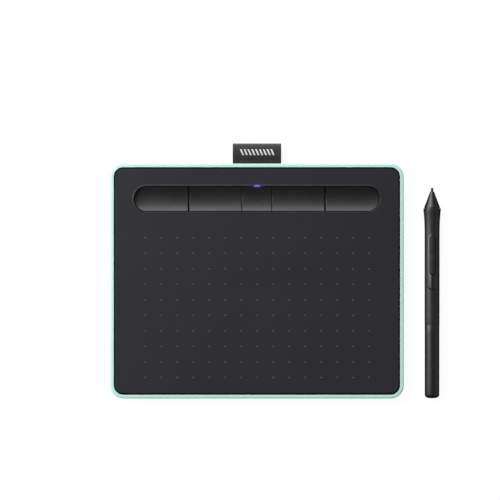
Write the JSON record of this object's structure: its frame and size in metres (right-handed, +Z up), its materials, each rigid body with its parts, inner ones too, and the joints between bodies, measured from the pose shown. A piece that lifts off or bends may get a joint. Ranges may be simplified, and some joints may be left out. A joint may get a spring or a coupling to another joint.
{
  "type": "pen drawing tablet",
  "caption": "Slim drawing tablet with a mint underside, black drawing face, a trough of press keys, a fabric pen loop and a pressure pen with a side switch.",
  "frame": {"origin": "desk plane under the middle of the tablet body", "axes": "+X right, +Y towards the key row and the pen loop, +Z up out of the drawing face"},
  "size_m": [0.2254, 0.1739, 0.0119],
  "materials": {
    "mint_plastic": "fine matt texture",
    "black_cover": "fine matt texture with a printed grid of dots",
    "key_plastic": "satin",
    "mint_rubber": "matt",
    "screw_steel": "zinc plated",
    "board_mask": "dark solder mask",
    "sheet_steel": "bright",
    "inner_plastic": "moulded",
    "chip_resin": "moulded resin",
    "lens_clear": "clear",
    "battery_wrap": "foil pouch",
    "lead_red": "satin",
    "lead_black": "satin",
    "flex_film": "film",
    "loop_fabric": "woven ribbon",
    "nib_plastic": "satin",
    "gloss_black": "gloss",
    "grip_rubber": "soft touch, matt",
    "satin_black": "satin",
    "ferrite": "sintered",
    "foam_black": "foam",
    "copper_wire": "enamelled copper"
  },
  "bodies": {
    "tablet": {"bottom_housing": "mint_plastic", "top_cover": "black_cover", "foot_1": "mint_rubber", "foot_2": "mint_rubber", "foot_3": "mint_rubber", "foot_4": "mint_rubber", "led_lens": "lens_clear", "status_led": "lens_clear", "cover_screw_1": "screw_steel", "cover_screw_2": "screw_steel", "cover_screw_3": "screw_steel", "cover_screw_4": "screw_steel", "loop_screw_1": "screw_steel", "loop_screw_2": "screw_steel", "board_screw_1": "screw_steel", "board_screw_2": "screw_steel", "board_screw_3": "screw_steel", "sensor_board": "board_mask", "control_board": "board_mask", "shield_sheet": "sheet_steel", "radio_module": "sheet_steel", "usb_connector": "sheet_steel", "tact_switch_1": "inner_plastic", "tact_switch_2": "inner_plastic", "tact_switch_3": "inner_plastic", "tact_switch_4": "inner_plastic", "tact_switch_5": "inner_plastic", "battery_socket": "inner_plastic", "loop_retainer": "inner_plastic", "main_chip": "chip_resin", "battery": "battery_wrap", "battery_lead_red": "lead_red", "battery_lead_black": "lead_black", "sensor_flex": "flex_film", "pen_loop": "loop_fabric", "cover_gasket": "foam_black"},
    "key_1": {"key_1": "key_plastic"},
    "key_2": {"key_2": "key_plastic"},
    "power_button": {"power_button": "key_plastic"},
    "key_3": {"key_3": "key_plastic"},
    "key_4": {"key_4": "key_plastic"},
    "nib": {"nib": "nib_plastic"},
    "side_switch": {"side_switch": "gloss_black"},
    "rear_barrel": {"rear_barrel": "satin_black", "tail_cap": "gloss_black", "nib_puller_ring": "sheet_steel"},
    "pen": {"nose_cone": "gloss_black", "grip_sleeve": "grip_rubber", "pen_chassis": "inner_plastic", "ferrite_core": "ferrite", "coil_winding": "copper_wire", "pressure_sensor": "sheet_steel", "pen_circuit_board": "board_mask", "side_contact_1": "inner_plastic", "side_contact_2": "inner_plastic", "nib_holder": "inner_plastic", "spare_nib_1": "nib_plastic", "spare_nib_2": "nib_plastic", "spare_nib_3": "nib_plastic"}
  },
  "joints": [
    {"name": "key_1_press", "type": "slide", "parent": "tablet", "child": "key_1", "axis": [0, 0, -1], "range_m": [0, 0.0005], "stiffness_N_per_m": 30, "springref_m": -0.0015},
    {"name": "key_2_press", "type": "slide", "parent": "tablet", "child": "key_2", "axis": [0, 0, -1], "range_m": [0, 0.0005], "stiffness_N_per_m": 30, "springref_m": -0.0015},
    {"name": "power_button_press", "type": "slide", "parent": "tablet", "child": "power_button", "axis": [0, 0, -1], "range_m": [0, 0.0004], "stiffness_N_per_m": 30, "springref_m": -0.0015},
    {"name": "key_3_press", "type": "slide", "parent": "tablet", "child": "key_3", "axis": [0, 0, -1], "range_m": [0, 0.0005], "stiffness_N_per_m": 30, "springref_m": -0.0015},
    {"name": "key_4_press", "type": "slide", "parent": "tablet", "child": "key_4", "axis": [0, 0, -1], "range_m": [0, 0.0005], "stiffness_N_per_m": 30, "springref_m": -0.0015},
    {"name": "pen_lift", "type": "slide", "parent": "tablet", "child": "pen", "axis": [0, 0, 1], "range_m": [0, 0.06]},
    {"name": "nib_press", "type": "slide", "parent": "pen", "child": "nib", "axis": [0, -1, -0.0079], "range_m": [0, 0.0005], "stiffness_N_per_m": 1, "springref_m": -0.001},
    {"name": "side_switch_rock", "type": "hinge", "parent": "pen", "child": "side_switch", "pos_m": [0.11945, 0.01857, 0.01029], "axis": [1, 0, 0], "range_deg": [-1.2, 1.2], "stiffness_Nm_per_rad": 0.0001},
    {"name": "rear_barrel_off", "type": "slide", "parent": "pen", "child": "rear_barrel", "axis": [0, -1, -0.0079], "range_m": [0, 0.035]}
  ]
}
